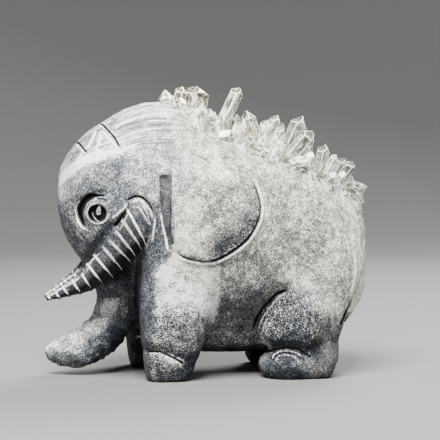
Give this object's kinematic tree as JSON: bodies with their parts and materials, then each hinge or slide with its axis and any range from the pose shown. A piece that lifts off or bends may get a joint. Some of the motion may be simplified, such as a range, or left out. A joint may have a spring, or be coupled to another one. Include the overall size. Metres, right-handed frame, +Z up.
{
  "type": "crystal elephant sculpture",
  "caption": "Standing elephant carved from the grey host rock of a quartz cluster, with the cluster's clear points left along its back.",
  "frame": {"origin": "on the ground, at the middle of the overall box", "axes": "+Z up, -X towards the trunk and tusks, -Y the elephant's left side"},
  "size_m": [0.1088, 0.0628, 0.0951],
  "materials": {
    "stone": "bush-hammered, with a dark wash in the hollows",
    "quartz": "natural clear to milky crystal faces"
  },
  "bodies": {
    "root": {"quartz_back_01": "quartz", "quartz_back_02": "quartz", "quartz_back_03": "quartz", "quartz_back_04": "quartz", "quartz_back_05": "quartz", "quartz_back_06": "quartz", "quartz_back_07": "quartz", "quartz_back_08": "quartz", "quartz_back_09": "quartz", "quartz_back_10": "quartz", "quartz_back_11": "quartz", "quartz_back_12": "quartz", "quartz_back_13": "quartz", "quartz_back_14": "quartz", "quartz_back_15": "quartz", "quartz_back_16": "quartz", "quartz_crown_01": "quartz", "quartz_crown_02": "quartz", "quartz_crown_03": "quartz", "quartz_crown_04": "quartz", "quartz_crown_05": "quartz", "quartz_crown_06": "quartz", "quartz_rump_01": "quartz", "quartz_rump_02": "quartz", "quartz_rump_03": "quartz", "quartz_rump_04": "quartz", "quartz_rump_05": "quartz", "quartz_rump_06": "quartz", "quartz_small_01": "quartz", "quartz_small_02": "quartz", "quartz_small_03": "quartz", "quartz_small_04": "quartz", "quartz_small_05": "quartz", "quartz_small_06": "quartz", "quartz_small_07": "quartz", "quartz_small_08": "quartz", "quartz_small_09": "quartz", "quartz_small_10": "quartz", "quartz_small_11": "quartz", "quartz_small_12": "quartz", "quartz_small_13": "quartz", "quartz_small_14": "quartz", "quartz_small_15": "quartz", "quartz_small_16": "quartz", "quartz_small_17": "quartz", "quartz_small_18": "quartz", "quartz_small_19": "quartz", "quartz_small_20": "quartz", "quartz_small_21": "quartz", "quartz_small_22": "quartz", "quartz_small_23": "quartz", "quartz_small_24": "quartz", "quartz_small_25": "quartz", "quartz_small_26": "quartz", "quartz_small_27": "quartz", "quartz_small_28": "quartz", "quartz_small_29": "quartz", "quartz_small_30": "quartz", "stone_elephant": "stone"}
  },
  "joints": []
}
